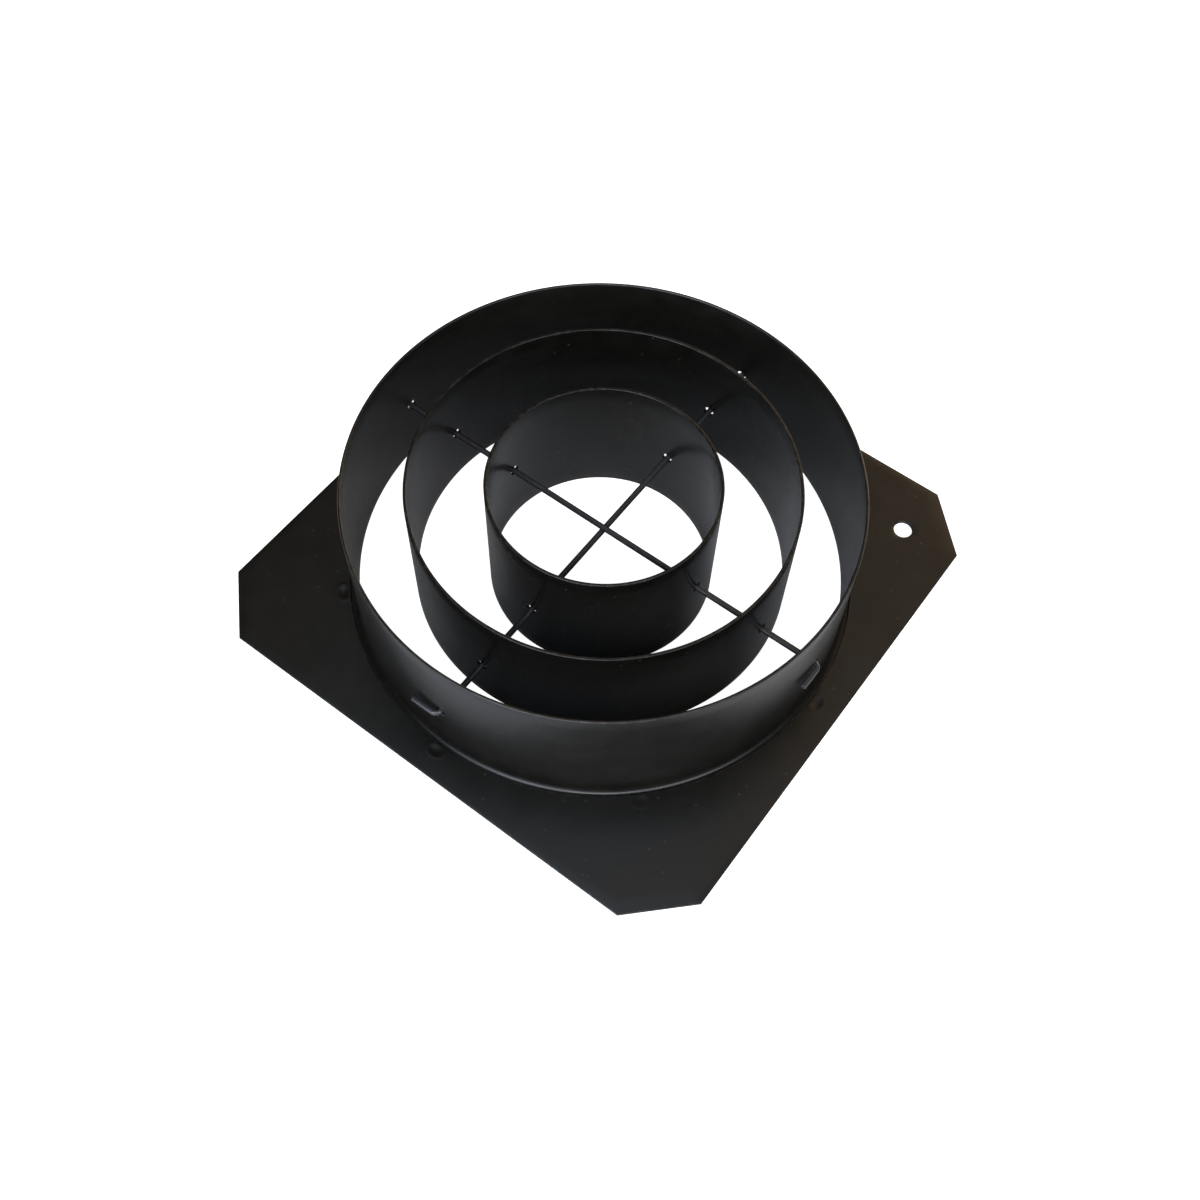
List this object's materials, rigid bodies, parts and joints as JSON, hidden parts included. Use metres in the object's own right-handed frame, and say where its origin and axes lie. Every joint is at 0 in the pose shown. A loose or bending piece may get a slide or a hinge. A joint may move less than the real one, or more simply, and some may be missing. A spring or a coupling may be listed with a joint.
{
  "type": "concentric ring louvre on a square plate",
  "caption": "Square clipped-corner sheet-metal plate with an upright round collar and concentric rings held on crossed rods, for straightening and shielding a round beam or air stream.",
  "frame": {"origin": "on the ring axis, at the underside of the collar's foot flange, which is the lowest face", "axes": "+Z along the ring axis towards the open rims; X and Y parallel to the plate's sides and to the rods; the corner hole is at +X, -Y"},
  "size_m": [0.1906, 0.1906, 0.0505],
  "materials": {
    "plate_paint": "satin black powder coat on steel sheet",
    "ring_paint": "satin black paint on steel strip",
    "rod_paint": "satin black paint on steel rod"
  },
  "bodies": {
    "root": {"mounting_plate": "plate_paint", "collar": "ring_paint", "middle_ring": "ring_paint", "inner_ring": "ring_paint", "lower_rod": "rod_paint", "upper_rod": "rod_paint"}
  },
  "joints": []
}
